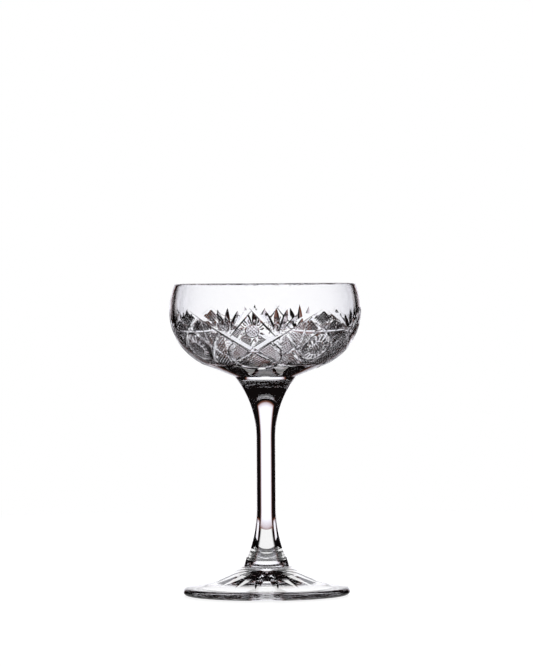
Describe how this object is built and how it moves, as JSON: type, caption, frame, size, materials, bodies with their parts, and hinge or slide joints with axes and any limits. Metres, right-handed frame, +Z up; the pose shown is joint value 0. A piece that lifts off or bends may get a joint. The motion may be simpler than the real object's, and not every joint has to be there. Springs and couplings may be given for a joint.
{
  "type": "coupe glass",
  "caption": "Stemmed coupe glass of clear cut crystal: wide shallow bowl with mitre-cut fans and stars, slender flared stem and round foot with a star cut beneath, for serving drinks.",
  "frame": {"origin": "middle of the foot, on the table plane", "axes": "+Z up along the axis of the glass, front towards -Y"},
  "size_m": [0.09, 0.09, 0.146],
  "materials": {
    "crystal": "polished"
  },
  "bodies": {
    "root": {"bowl": "crystal", "stem": "crystal", "foot": "crystal"}
  },
  "joints": []
}
